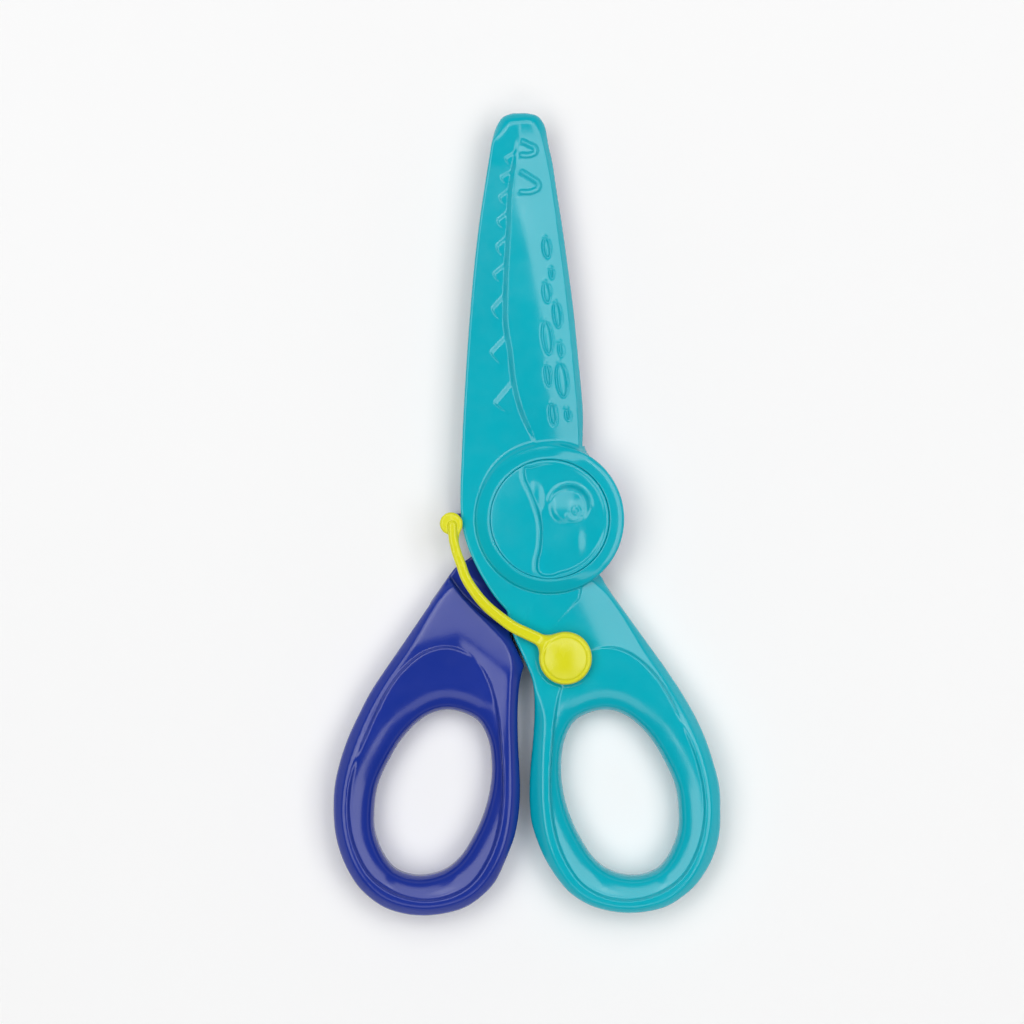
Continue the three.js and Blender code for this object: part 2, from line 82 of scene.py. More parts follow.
# ---- sizes ----
CAP_R = node_box("eye_cap")[1][0]
BOSS_R = CAP_R + 2.95
BOSS_TOP = 10.2
CAP_FLOOR = node_box("eye_cap")[0][2]
RING_TOP = node_box("rear_body")[1][2]
MATING_Z = RING_TOP / 2
FRONT_HUB_Z = 5.1
COVER_BOTTOM = 5.4
BLADE_POCKET_TOP = 6.4
JAW_TOP = 8.1
REAR_COVER_BOTTOM, REAR_COVER_TOP = 1.0, 4.2
REAR_POCKET_FLOOR = 3.2
REAR_HUB_R = 14.2
REAR_HUB_TOP = 4.5
SHOULDER_TOP = 2.9
FRONT_FULL_DEPTH_R = 21.2
REAR_FULL_DEPTH_R = 23.2
BORE_R = 3.05
HEAD_POCKET_R, HEAD_POCKET_FLOOR = 5.2, 6.6
REAR_CAP_POCKET_R, REAR_CAP_POCKET_TOP = 9.15, 1.2
LEVER_PIVOT = (node_box("lever_washer")[0] + node_box("lever_washer")[1])[:2] / 2
KNOB_R = node_box("spring_lever")[1][0] - LEVER_PIVOT[0]
ARM_BOTTOM = 8.8
POST_BORE_R = 2.7
LEVER_SCREW_POCKET_R, LEVER_SCREW_POCKET_TOP = 4.2, 2.6
MIRROR_X = -4.6                      # the finger rings mirror each other about this line

# ---- outlines, in the plane of the scissors ----
COVER_LEFT = [
    (-8.6, -18.3), (-10.9, -15.6), (-13.0, -12.4), (-14.6, -9.5), (-16.3, -5.6), (-17.4, -1.6), (-17.8, 3),
    (-17.5, 13.8), (-16.9, 26), (-16.1, 38), (-15.1, 49.8), (-13.9, 60), (-12.4, 69.8), (-11.3, 76.2),
    (-10.6, 78.4), (-9.3, 80.3), (-7.3, 81.05),
]
COVER_RIGHT = [
    (-4.5, 81.05), (-2.4, 80.5), (-1.0, 78.7), (-0.2, 76.2), (0.9, 71.4), (2.1, 64.2), (3.6, 53.0),
    (4.9, 42.6), (6.0, 31.5), (6.9, 21), (7.2, 13), (7.2, 8),
]
COVER_INNER = [(9, 0), (6, -16), (-3, -26), (-7.3, -23.2)]
MOUTH_LINE = [
    (-6.1, 80), (-6.3, 76), (-6.8, 72.3), (-7.9, 64.8), (-8.2, 57.7), (-8.6, 50.7), (-8.8, 45), (-8.8, 38.8),
    (-7.9, 33.2), (-7.4, 28.4), (-6.3, 23.4), (-5.1, 20), (-3.5, 16.4), (-2, 12),
]
FRONT_HANDLE = [
    (-7.3, -23.2), (-4.6, -29), (-3.4, -32.4), (-3.0, -38), (-3.3, -44), (-3.9, -51), (-4.0, -56),
    (-3.7, -60), (-2.9, -63), (-0.9, -67.8), (2.3, -72.6), (4.7, -75), (9.2, -77.4), (15.9, -78.5),
    (22.9, -77.4), (26.9, -75), (29.5, -72.6), (32.5, -67.8), (33.9, -63), (34.1, -58.2), (33.9, -53.4),
    (32.7, -48.6), (31.1, -43.8), (28.9, -39), (26.1, -34.2), (22.9, -29.4), (12.5, -15), (11.1, -12.8),
]
FRONT_HANDLE_INNER = [(10.5, -10.6), (2, -8)]
REAR_HANDLE = [
    (-18.6, -9.5), (-20.9, -12.6), (-30.7, -27), (-33.6, -31.2), (-35.8, -34.6), (-38.1, -39), (-40.3, -43.8),
    (-41.9, -48.6), (-42.9, -53.4), (-43.1, -58.2), (-42.7, -63), (-41.3, -67.8), (-38.7, -72.6),
    (-36.5, -75), (-33.1, -77.4), (-29.2, -78.7), (-24.9, -79.1), (-20.6, -78.6), (-16.7, -77.4),
    (-13.3, -75), (-10.9, -72.4), (-8.7, -67.8), (-6.9, -63), (-6.1, -58.2), (-5.9, -53.4), (-6.3, -43.8),
    (-6.3, -36.6), (-5.8, -31.8), (-5.1, -29.2),
]
REAR_HANDLE_INNER = [(-7.9, -23.2), (-7.4, -18)]
HOLE = [   # the rear hole; the front one is its mirror image
    (-20, -38.25), (-24.4, -39.3), (-28.9, -43.2), (-32.1, -48.2), (-34.4, -53.4), (-35.1, -58.2),
    (-34.9, -63), (-32.9, -67.8), (-30.6, -70.3), (-26.2, -71.5), (-21.4, -70.5), (-18.1, -68),
    (-14.9, -63), (-12.9, -58.2), (-11.8, -53.4), (-11.6, -48.6), (-12.4, -43.8), (-14.6, -40.2),
]
# The raised edge that frames each handle: the surface falls away outside it in a chamfer.
PANEL = [
    (-19.1, -13.4), (-14.6, -18.4), (-10.6, -22.7), (-8.7, -24.9), (-7.5, -28.4), (-7.7, -33), (-8.0, -40),
    (-7.7, -48), (-7.7, -56), (-8.6, -63), (-10.6, -68.6), (-13.8, -73.1), (-17.6, -75.8), (-24.9, -77.3),
    (-32.2, -75.7), (-36.8, -72), (-39.6, -67), (-41.1, -60.5), (-41.1, -55), (-39.9, -48.6), (-36.6, -40),
    (-33.0, -33.4), (-29.0, -27.6),
]
# The front shank has no chamfer on its left, where the cover runs on into it.
SHANK_PANEL = [(9.9, -13.4), (0, -9), (-11, -18), (-8, -27), (-3.2, -33.5), (-1.5, -38)]
# Inside this loop the surface rolls down into the finger hole.
FLARE = [
    (-20.5, -25.4), (-16.9, -26.4), (-13.9, -28.8), (-11.6, -33), (-10.2, -39), (-9.5, -46), (-9.2, -54),
    (-10.1, -62), (-12.4, -68.2), (-15.6, -72.6), (-19.6, -75), (-24.9, -75.9), (-31.0, -74.5),
    (-35.6, -71.2), (-38.6, -66), (-40.0, -60.2), (-39.9, -54), (-38.4, -47.4), (-35.6, -40.6),
    (-32.6, -34.4), (-29.2, -29.8), (-25.0, -26.5),
]
REAR_COVER_EDGE = [
    (-9.2, 11), (-9.6, 19.8), (-10.2, 41.6), (-9.5, 66), (-9.0, 77.0), (-7.6, 79.3), (-3.4, 79.3),
    (-1.5, 76.4), (1.2, 64.2), (3.9, 42.6), (5.7, 26), (6.4, 11),
]
SHOULDER = [(-12.6, -5.5), (-18.9, -9.8), (-24, -17), (-12, -26), (-7.9, -23.2), (-2, -14)]
LUG = [(-13, 1.1), (-20.3, 1.1), (-20.3, 0.2), (-17.4, -0.4), (-13, -3)]
LEVER_TIP = (-19.6, -0.9)
ARM = [
    (-19.35, -1.2), (-19.2, -3.6), (-18.5, -6.6), (-17.7, -8.8), (-16.7, -11.6), (-14.6, -14.9),
    (-12.5, -17.3), (-9.5, -19.8), (-7.1, -21.5), (-4.6, -22.7), (-2.3, -23.8), (1.2, -25.8),
]
# Teeth along the mouth line: the tip, and where the tooth starts and ends along Y.
TEETH = [
    ((-8.9, 72.2), 73.6, 70.1), ((-9.8, 68.4), 69.8, 66.3), ((-10.1, 64.5), 66.2, 62.0),
    ((-10.5, 59.8), 61.8, 57.2), ((-10.7, 54.7), 56.9, 51.7), ((-11.3, 49.2), 51.4, 46.5),
    ((-11.6, 42.3), 45.4, 38.8), ((-11.9, 33.6), 37.1, 29.2), ((-11.2, 23.5), 28.1, 19.1),
]
NOSTRILS = [
    [(-5.6, 75.2), (-4.2, 74.6), (-2.95, 73.9), (-2.9, 73.0), (-4.1, 72.4), (-5.6, 72.4)],
    [(-5.5, 69.0), (-3.8, 68.0), (-2.3, 66.9), (-2.3, 65.9), (-3.8, 65.1), (-5.6, 65.0)],
]
# Scales: centre, width and height of each oval.
SCALES = [
    (-0.6, 53.9, 1.7, 4.2), (0.4, 48.8, 1.0, 2.2), (-0.6, 45.0, 1.7, 4.2), (1.5, 40.6, 1.7, 5.3),
    (-0.5, 36.0, 2.1, 6.8), (2.2, 33.7, 1.1, 3.1), (-0.4, 28.5, 1.3, 4.5), (2.4, 27.6, 2.4, 7.0),
    (0.6, 20.8, 1.5, 4.5), (3.6, 20.7, 1.1, 2.5),
]
SCALE_TILT = math.radians(7)
# The edge of the eye's socket, from the top of the cap down to its lowest point.
SOCKET_LINE = [
    (-5.2, 10.6), (-5.2, 8.2), (-3.9, 5.2), (-2.6, 1.7), (-1.95, -1.5), (-2.1, -5.6), (-2.75, -8.7),
    (-2.6, -10.4), (-1.6, -11.35), (0.6, -11.5),
]


# ---- curves and distances ----

def smooth(points, closed=False, chord=0.9):
    """A centripetal Catmull-Rom curve through the points, in chords of about that length."""
    points = np.array(points, float)
    if closed:
        points = np.vstack([points[-1:], points, points[:2]])
    else:
        points = np.vstack([2 * points[0] - points[1], points, 2 * points[-1] - points[-2]])
    pieces = []
    for a, b, c, d in zip(points, points[1:], points[2:], points[3:]):
        t1 = math.dist(a, b) ** 0.5
        t2 = t1 + math.dist(b, c) ** 0.5
        t3 = t2 + math.dist(c, d) ** 0.5
        t = np.linspace(t1, t2, max(2, math.ceil(math.dist(b, c) / chord)), endpoint=False)[:, None]
        ab = ((t1 - t) * a + t * b) / t1
        bc = ((t2 - t) * b + (t - t1) * c) / (t2 - t1)
        cd = ((t3 - t) * c + (t - t2) * d) / (t3 - t2)
        abc = ((t2 - t) * ab + t * bc) / t2
        bcd = ((t3 - t) * bc + (t - t1) * cd) / (t3 - t1)
        pieces.append(((t2 - t) * abc + (t - t1) * bcd) / (t2 - t1))
    if not closed:
        pieces.append(points[-2:-1])
    return np.vstack(pieces)


def mirrored(points):
    return [(2 * MIRROR_X - x, y) for x, y in points]


def line_distance(points, x, y):
    """Distance to an open line of points."""
    best = np.full(np.broadcast(x, y).shape, 1e9)
    for (ax, ay), (bx, by) in zip(points, points[1:]):
        ex, ey = bx - ax, by - ay
        t = np.clip(((x - ax) * ex + (y - ay) * ey) / (ex * ex + ey * ey), 0, 1)
        best = np.minimum(best, (x - ax - ex * t) ** 2 + (y - ay - ey * t) ** 2)
    return np.sqrt(best)


def loop_distance(points, x, y):
    """Signed distance to a closed loop of points, negative inside."""
    inside = np.zeros(np.broadcast(x, y).shape, bool)
    for (ax, ay), (bx, by) in zip(points, np.roll(points, -1, axis=0)):
        if ay != by:
            spans = (ay > y) != (by > y)
            inside ^= spans & (x < (bx - ax) * (y - ay) / (by - ay) + ax)
    away = line_distance(np.vstack([points, points[:1]]), x, y)
    return np.where(inside, -away, away)


class Map:
    """A function of x and y kept on a fine grid, and read back by bilinear interpolation."""
    STEP = 0.25
    MARGIN = 5

    def __init__(self, points, function=loop_distance, blur=1):
        points = np.array(points, float)
        self.low = points.min(0) - self.MARGIN
        counts = np.ceil((points.max(0) + self.MARGIN - self.low) / self.STEP).astype(int) + 1
        axes = [self.low[i] + self.STEP * np.arange(counts[i]) for i in (0, 1)]
        values = function(points, *np.meshgrid(*axes, indexing="ij"))
        for _ in range(blur):
            for axis in (0, 1):
                near = np.take(values, np.clip(np.arange(counts[axis]) - 1, 0, None), axis)
                far = np.take(values, np.clip(np.arange(counts[axis]) + 1, None, counts[axis] - 1), axis)
                values = (near + 2 * values + far) / 4
        self.values = values

    def __call__(self, x, y):
        x, y = np.broadcast_arrays(x, y)
        u = np.clip((x - self.low[0]) / self.STEP, 0, self.values.shape[0] - 1.001)
        v = np.clip((y - self.low[1]) / self.STEP, 0, self.values.shape[1] - 1.001)
        i, j = u.astype(int), v.astype(int)
        u, v = u - i, v - j
        near = self.values[i, j] * (1 - v) + self.values[i, j + 1] * v
        far = self.values[i + 1, j] * (1 - v) + self.values[i + 1, j + 1] * v
        return near * (1 - u) + far * u


# ---- ways to join and cut solids, given as signed distances ----

def round_max(a, b, r):
    """The overlap of two solids, with the edge between them rounded to radius r."""
    return np.minimum(np.maximum(a, b), -r) + np.hypot(np.maximum(a + r, 0), np.maximum(b + r, 0))


def round_min(a, b, r):
    """The union of two solids, with a fillet of radius r between them."""
    return -round_max(-a, -b, r)


def step(low, high, x):
    """0 below low, 1 above high, and smooth between."""
    t = np.clip((x - low) / (high - low), 0, 1)
    return t * t * (3 - 2 * t)


def soft_positive(x, width=0.3):
    """x where it is positive and 0 where it isn't, with the corner rounded."""
    return 0.5 * (x + np.sqrt(x * x + width * width))


def mix(a, b, share):
    return a + (b - a) * share


# ---- skins: fine meshes of the solids ----

CORNERS = np.array([(i, j, k) for i in (0, 1) for j in (0, 1) for k in (0, 1)])
CELL_EDGES = [(a, b) for a in range(8) for b in range(a + 1, 8) if abs(CORNERS[a] - CORNERS[b]).sum() == 1]


def surface_net(values, low, cell):
    """Vertices and quads of the zero level of values on a grid, one vertex to each cell that it crosses."""
    inside = values < 0
    nx, ny, nz = values.shape
    count = sum(inside[i:nx - 1 + i, j:ny - 1 + j, k:nz - 1 + k].astype(np.int8) for i, j, k in CORNERS)
    active = (count > 0) & (count < 8)
    cells = np.argwhere(active)
    number = np.full(active.shape, -1)
    number[active] = np.arange(len(cells))
    at_corner = np.stack([values[tuple((cells + c).T)] for c in CORNERS], 1)
    total, hits = np.zeros((len(cells), 3)), np.zeros((len(cells), 1))
    for a, b in CELL_EDGES:
        va, vb = at_corner[:, a], at_corner[:, b]
        crossed = ((va < 0) != (vb < 0))[:, None]
        share = (va / np.where(va == vb, 1, va - vb))[:, None]
        total += np.where(crossed, CORNERS[a] + share * (CORNERS[b] - CORNERS[a]), 0)
        hits += crossed
    vertices = (cells + total / hits) * cell + low
    quads = []
    for axis in range(3):
        u, v = (axis + 1) % 3, (axis + 2) % 3
        first = np.take(inside, range(values.shape[axis] - 1), axis)
        second = np.take(inside, range(1, values.shape[axis]), axis)
        at = np.argwhere(first != second)
        inner = (at[:, u] > 0) & (at[:, v] > 0)
        at = at[inner & (at[:, u] < values.shape[u] - 1) & (at[:, v] < values.shape[v] - 1)]
        around = []
        for du, dv in ((-1, -1), (0, -1), (0, 0), (-1, 0)):
            neighbour = at.copy()
            neighbour[:, u] += du
            neighbour[:, v] += dv
            around.append(number[tuple(neighbour.T)])
        quad = np.stack(around, 1)
        inwards = ~first[tuple(at.T)]
        quad[inwards] = quad[inwards][:, ::-1]
        quads.append(quad)
    return vertices, np.vstack(quads)


def settle(vertices, solid, cell, rounds=3):
    """Moves the vertices onto the solid's exact surface."""
    delta = cell / 8
    for _ in range(rounds):
        x, y, z = vertices.T
        value = solid(x, y, z)
        slope = np.stack([
            solid(x + delta, y, z) - solid(x - delta, y, z),
            solid(x, y + delta, z) - solid(x, y - delta, z),
            solid(x, y, z + delta) - solid(x, y, z - delta),
        ], 1) / (2 * delta)
        steepness = np.maximum((slope ** 2).sum(1), 0.05)
        move = -(value / steepness)[:, None] * slope
        length = np.linalg.norm(move, axis=1, keepdims=True)
        vertices = vertices + move * np.minimum(1, 0.4 * cell / np.maximum(length, 1e-9))
    return vertices


def mesh_object(name, vertices, faces):
    """A mesh object from vertices in millimetres."""
    mesh = bpy.data.meshes.new(name)
    mesh.from_pydata((np.asarray(vertices) * MM).tolist(), [], np.asarray(faces).tolist())
    mesh.polygons.foreach_set("use_smooth", [True] * len(mesh.polygons))
    mesh.update()
    obj = bpy.data.objects.new(name, mesh)
    bpy.context.scene.collection.objects.link(obj)
    return obj


def skin(name, solid, low, high, cell=None):
    """A fine mesh of a solid given as a signed distance, inside a box."""
    cell = cell or CELL
    low = np.array(low, float) - 2.37 * cell
    counts = np.ceil((np.array(high) - low) / cell).astype(int) + 3
    x, y, z = (low[i] + cell * np.arange(counts[i]) for i in range(3))
    values = solid(x[:, None, None], y[None, :, None], z[None, None, :])
    vertices, quads = surface_net(values, low, cell)
    vertices = np.clip(settle(vertices, solid, cell), *np.array(CAD_BOUNDS) / MM)
    return mesh_object(name, vertices, quads)


# ---- the finger rings and shanks ----

BEVEL_SLOPE = 0.95
BACK_BEVEL_SLOPE = 0.7
BACK_ROLL = 3.6
BEVEL_FLOOR = 5.0
ROLL_WIDTH = 7.0                     # how far from the finger hole the surface starts to roll into it
ROLL_DEPTH = 2.5
FLARE_TOP = (8.3, 8.95)              # beside the shank, and round the ring
ROLL_POWER = 2.5
FLARE_EDGE = (-0.4, 0.2)             # where the face blends into the flare, across its outline
HOLE_EDGE_R = 1.4
OUTER_EDGE_R = 0.5
# The rear shank's face is lowest at this corner, and climbs along this heading.
RAMP_CORNER, RAMP_CORNER_Z = (-19, -13.6), 6.0
RAMP_HEADING, RAMP_RISE = (0.26, -0.97), 0.18
LEAN_FROM, LEAN_WIDTH, LEAN_FALL = -8.0, 10, 0.18
# The front shank's facet falls away past this point, along this heading.
FACET_CORNER, FACET_HEADING, FACET_FALL = (6.0, -17.5), (0.9, 0.45), 0.19


def rear_face(x, y):
    """The shank's face rises from its corner towards the ring, and leans to the left along its right edge."""
    climb = RAMP_HEADING[0] * (x - RAMP_CORNER[0]) + RAMP_HEADING[1] * (y - RAMP_CORNER[1])
    ramp = RAMP_CORNER_Z + RAMP_RISE * climb
    leftwards = np.maximum(LEAN_FROM - x, 0)
    lean = LEAN_FALL * (LEAN_WIDTH - soft_positive(LEAN_WIDTH - leftwards, 0.8)) * step(-54, -38, y)
    top = RING_TOP - 0.05 - lean
    return top - soft_positive(top - ramp, 0.2)


def front_face(x, y):
    """The shank's face is level with the cover, and falls away to the right in a facet."""
    level = mix(JAW_TOP, RING_TOP - 0.1, step(-20, -46, y))
    past = FACET_HEADING[0] * (x - FACET_CORNER[0]) + FACET_HEADING[1] * (y - FACET_CORNER[1])
    facet = soft_positive(past, 2.5)
    return level - FACET_FALL * facet * (1 - step(-30, -48, y))


class Handle:
    """A finger ring with its shank. Its face is a raised panel with a chamfer round it, and a flared
    region that rolls down into the finger hole. The front handle mirrors the rear one."""

    def __init__(self, outer, hole, panel, flare, face):
        self.face = face
        self.outer = Map(outer)
        self.hole = Map(smooth(hole, closed=True))
        self.panel = Map(smooth(panel, closed=True))
        self.flare = Map(smooth(flare, closed=True))

    def height(self, x, y):
        from_hole = self.hole(x, y)
        roll = np.clip((ROLL_WIDTH - from_hole) / ROLL_WIDTH, 0, 1.2)
        flare = mix(*FLARE_TOP, step(-26, -48, y)) - ROLL_DEPTH * roll ** ROLL_POWER
        return mix(flare, self.face(x, y), step(*FLARE_EDGE, self.flare(x, y)))

    def __call__(self, x, y, z):
        from_hole = self.hole(x, y)
        beyond = soft_positive(self.panel(x, y), 0.35)
        top = self.height(x, y) - BEVEL_SLOPE * beyond
        top = BEVEL_FLOOR + soft_positive(top - BEVEL_FLOOR, 0.6)
        upper = (z - top) / math.hypot(1, 0.35)
        solid = round_max(-from_hole, upper, HOLE_EDGE_R)
        under = BACK_BEVEL_SLOPE * beyond - z
        solid = np.maximum(solid, round_max(-from_hole, under, BACK_ROLL))
        return round_max(solid, self.outer(x, y), OUTER_EDGE_R)


# ---- the front half ----

cover_edge = np.vstack([smooth(COVER_LEFT), smooth(COVER_RIGHT), COVER_INNER])
cover_map = Map(cover_edge)
front_handle = Handle(
    np.vstack([FRONT_HANDLE[:2], smooth(FRONT_HANDLE[1:-2])[1:], FRONT_HANDLE[-2:], FRONT_HANDLE_INNER]),
    mirrored(HOLE), [*SHANK_PANEL, *mirrored(PANEL[6:])], mirrored(FLARE), front_face)
rear_handle = Handle(
    np.vstack([REAR_HANDLE[:2], smooth(REAR_HANDLE[2:]), REAR_HANDLE_INNER]), HOLE, PANEL, FLARE, rear_face)

RIM_WIDTH, RIM_DROP = 1.35, 1.35     # the chamfer along the cover's edge
TIP_ROLL, TIP_ROLL_WIDTH = 0.21, 2.6
JAW_STEP, JAW_STEP_WIDTH = 1.05, 0.9  # the upper jaw stands above the lower one
TIP_DROP = 0.5
SNOUT_FALL, SNOUT_BLEND = 0.195, 2.0
TOOTH_RISE, TOOTH_FALL, TOOTH_EDGE_SLOPE = 0.3, 0.09, 1.2
LONGEST_TOOTH = 9.0
NOSTRIL_HEIGHT, NOSTRIL_HALF_WIDTH = 0.4, 0.5
SCALE_GROOVE_DEPTH, SCALE_GROOVE_WIDTH = 0.36, 0.22
SCALE_BEAD_HEIGHT = 0.3
# Where the upper jaw's level part ends and its long facet starts, as X at each Y.
FACET_LINE = [
    (2.6, 8), (1.0, 16.7), (-0.3, 24.3), (-1.4, 33), (-2.3, 41.6), (-3.6, 48), (-5.3, 57), (-7.4, 65),
    (-7.6, 72), (-7.0, 80),
]


def x_at(line, y):
    """X of a curve through the points, at each y."""
    curve = smooth(line)
    curve = curve[np.argsort(curve[:, 1])]
    return np.interp(y, curve[:, 1], curve[:, 0])


def tooth_relief(tip, top, bottom, x, y):
    """A low wedge: a short slope up along its upper edge, then a long slope down to its root."""
    root_top = np.array([x_at(MOUTH_LINE, top), top])
    root_bottom = np.array([x_at(MOUTH_LINE, bottom), bottom])
    tip = np.array(tip)
    upper_edge = [root_top + (2.5, 0.5), root_top, mix(root_top, tip, 0.6) + (-0.35, 0.3), tip]
    lower_edge = [mix(tip, root_bottom, 0.35) + (-0.35, -0.35), root_bottom, root_bottom + (2.5, -0.5)]
    inside = -loop_distance(smooth(upper_edge + lower_edge, chord=0.4), x, y)
    along = (root_top - tip) / math.dist(root_top, tip)
    from_upper = (x - tip[0]) * along[1] - (y - tip[1]) * along[0]
    reach = 0.5 + 0.5 * (top - bottom) / LONGEST_TOOTH
    fin = TOOTH_RISE * np.clip(from_upper, 0, reach) - TOOTH_FALL * np.maximum(from_upper - reach, 0)
    return np.where(inside > 0, np.maximum(np.minimum(fin, TOOTH_EDGE_SLOPE * inside), 0), 0)


def ridge_profile(distance, half_width, height):
    """A raised bead with a groove on each side."""
    share = distance / half_width
    return height * np.exp(-share ** 2) - 0.2 * height * np.exp(-((share - 2) * 1.6) ** 2)


def nostril_relief(x, y):
    """Two flat-topped beads."""
    shares = [line_distance(smooth(line, chord=0.3), x, y) / NOSTRIL_HALF_WIDTH for line in NOSTRILS]
    return sum(NOSTRIL_HEIGHT * np.exp(-share ** 4) for share in shares)


def scale_relief(x, y):
    """Raised ovals with steep sides and a dished top, each with a small bead at its upper end."""
    relief = 0
    for cx, cy, width, height in SCALES:
        a, b = width / 2, height / 2
        u = (x - cx) * math.cos(SCALE_TILT) + (y - cy) * math.sin(SCALE_TILT)
        v = (y - cy) * math.cos(SCALE_TILT) - (x - cx) * math.sin(SCALE_TILT)
        reach = np.hypot(u / a, v / b) + 1e-6
        away = (reach - 1) * reach / np.hypot(u / a ** 2, v / b ** 2)
        tall = 0.2 + 0.12 * min(width, 1.8)
        groove = SCALE_GROOVE_DEPTH * np.exp(-((away + 0.16) / SCALE_GROOVE_WIDTH) ** 2)
        dome = 0.5 * tall * np.clip(1 - reach ** 2, 0, 1)
        bead = SCALE_BEAD_HEIGHT * np.exp(-(u / 0.42) ** 2 - ((v - 0.95 * b) / 0.55) ** 2)
        relief = relief - groove + dome + bead
    return relief


def cover_height(outline, x, y):
    """The crocodile's head: a flat lower jaw on the left with the teeth, and an upper jaw with a long
    facet, a chamfered rim, the nostrils and the scales."""
    x, y = np.broadcast_arrays(x, y)
    jaw = step(11, 24, y)
    from_mouth = x - x_at(MOUTH_LINE, y)
    to_tip = step(70, 79, y)
    upper = JAW_TOP + JAW_STEP * jaw - TIP_DROP * to_tip
    past_facet_line = soft_positive(x - x_at(FACET_LINE, y), SNOUT_BLEND)
    snout = past_facet_line * step(8, 14, y) * step(82, 74, y)
    upper = upper - SNOUT_FALL * snout
    lower = JAW_TOP + TIP_DROP * to_tip
    for tooth in TEETH:
        lower = lower + tooth_relief(*tooth, x, y)
    upper = upper + (nostril_relief(x, y) + scale_relief(x, y)) * step(0.4, 1.0, from_mouth)
    height = mix(lower, upper, np.clip(from_mouth / JAW_STEP_WIDTH + 0.5, 0, 1))
    inwards = np.maximum(-loop_distance(outline, x, y), 0)
    rim_width = RIM_WIDTH * np.maximum(step(-7.5, -5, x), step(74, 79, y))
    rim = RIM_DROP * np.maximum(rim_width - inwards, 0) / RIM_WIDTH
    rim = mix(rim, TIP_ROLL * np.maximum(TIP_ROLL_WIDTH - inwards, 0) ** 2, step(75, 79, y))
    return height - rim * step(9, 14, y)


class HeightMap(Map):
    """A height over the whole of a box."""
    STEP = 0.12
    MARGIN = 0.5


cover_top = HeightMap(cover_edge, function=cover_height, blur=0)
blade_pocket = Map([
    (-9.3, 14.6), (-9.2, 21), (-9.1, 42.6), (-8.9, 64.2), (-8.4, 76.6), (-8.2, 80.2), (2, 80.2), (12, 60),
    (12, 14.6)], blur=0)


CONE_R, CONE_FALL = 12.2, 0.6
FREE_LIP_R, FREE_LIP_FALL = 13.8, 0.38
# The boss stands clear of the cover and the shank between these bearings, in degrees.
FREE_FROM, FREE_TO, FREE_BLEND = -58, 76, 22


def boss_solid(x, y, z):
    """A round boss. It falls away as a cone to the cover and the shank, and has a lipped edge where it
    stands clear of them."""
    r = np.hypot(x, y)
    bearing = np.degrees(np.arctan2(y, x))
    after_start = step(FREE_FROM - FREE_BLEND, FREE_FROM + FREE_BLEND, bearing)
    before_end = step(FREE_TO + FREE_BLEND, FREE_TO - FREE_BLEND, bearing)
    cone = CONE_FALL * soft_positive(r - CONE_R, 0.4)
    lip = FREE_LIP_FALL * soft_positive(r - FREE_LIP_R, 0.3)
    top = BOSS_TOP - mix(cone, lip, after_start * before_end)
    edge = round_max(r - BOSS_R, z - top, 0.35)
    return np.maximum(edge, FRONT_HUB_Z - z)


CAP_GAP = 0.02
KNOB_GAP = (0.45, 0.25)              # round the lever's knob, and under it


def front_solid(x, y, z):
    """The cover, the boss and the handle in one, cut out for the blade, the cap, the pivot and the lever."""
    r = np.hypot(x, y)
    cover = round_max(round_max(cover_map(x, y), z - cover_top(x, y), 0.45), COVER_BOTTOM - z, 0.3)
    handle = front_handle(x, y, z)
    rear_hub_room = np.maximum(r - FRONT_FULL_DEPTH_R, z - FRONT_HUB_Z)
    handle = round_max(handle, -rear_hub_room, 0.4)
    solid = round_min(cover, handle, 0.1)
    solid = round_min(solid, boss_solid(x, y, z), 0.35 + 1.1 * step(4, 14, y))
    solid = round_max(solid, -np.maximum(blade_pocket(x, y), z - BLADE_POCKET_TOP), 0.15)
    solid = round_max(solid, -np.maximum(r - CAP_R - CAP_GAP, CAP_FLOOR - 0.04 - z), 0.08)
    solid = np.maximum(solid, -np.maximum(r - HEAD_POCKET_R, HEAD_POCKET_FLOOR - z))
    solid = np.maximum(solid, BORE_R - r)
    post = np.hypot(x - LEVER_PIVOT[0], y - LEVER_PIVOT[1])
    knob_seat = np.maximum(post - KNOB_R - KNOB_GAP[0], ARM_BOTTOM - KNOB_GAP[1] - z)
    solid = round_max(solid, -knob_seat, 0.3)
    solid = np.maximum(solid, POST_BORE_R - post)
    screw_pocket = np.maximum(post - LEVER_SCREW_POCKET_R, z - LEVER_SCREW_POCKET_TOP)
    return round_max(solid, -screw_pocket, 0.25)


# ---- the eye cap ----

socket_line = smooth(SOCKET_LINE, chord=0.5)
SOCKET_LOOP = np.vstack([
    socket_line,
    [((CAP_R - 0.75) * math.cos(a), (CAP_R - 0.75) * math.sin(a))
     for a in np.radians(np.arange(-78, 113, 4))],
])
SOCKET_FLOOR, SOCKET_TOP, SOCKET_RISE = 9.3, 10.4, 0.06
SOCKET_EDGE_BEAD = 0.15
EYE_CENTRE, EYE_R = (3.9, 2.7), 4.3
EYELID, EYELID_TOP, EYELID_R = (2.4, 0.4), 10.3, 15
BROW, BROW_TOP, BROW_RADII = (-2.6, 4.6), 10.0, (3.6, 8.0)
PUPIL, PUPIL_R, PUPIL_DEPTH = (5.2, 1.7), 0.7, 0.2
LOWER_LID, LOWER_LID_R = (4.9, 1.5), 1.75
CHEEK, CHEEK_HEIGHT = (5.2, -4.4), 0.42
CHEEK_WIDTH, CHEEK_LENGTH = (6, 1.6), 3.5     # the cheek falls slowly to the left and fast to the right


def arc_distance(x, y, centre, radius, start, end):
    """Distance to an arc of a circle, given by its first and last bearing in degrees."""
    angles = np.radians(np.linspace(start, end, 14))
    line = [(centre[0] + radius * math.cos(a), centre[1] + radius * math.sin(a)) for a in angles]
    return line_distance(line, x, y)


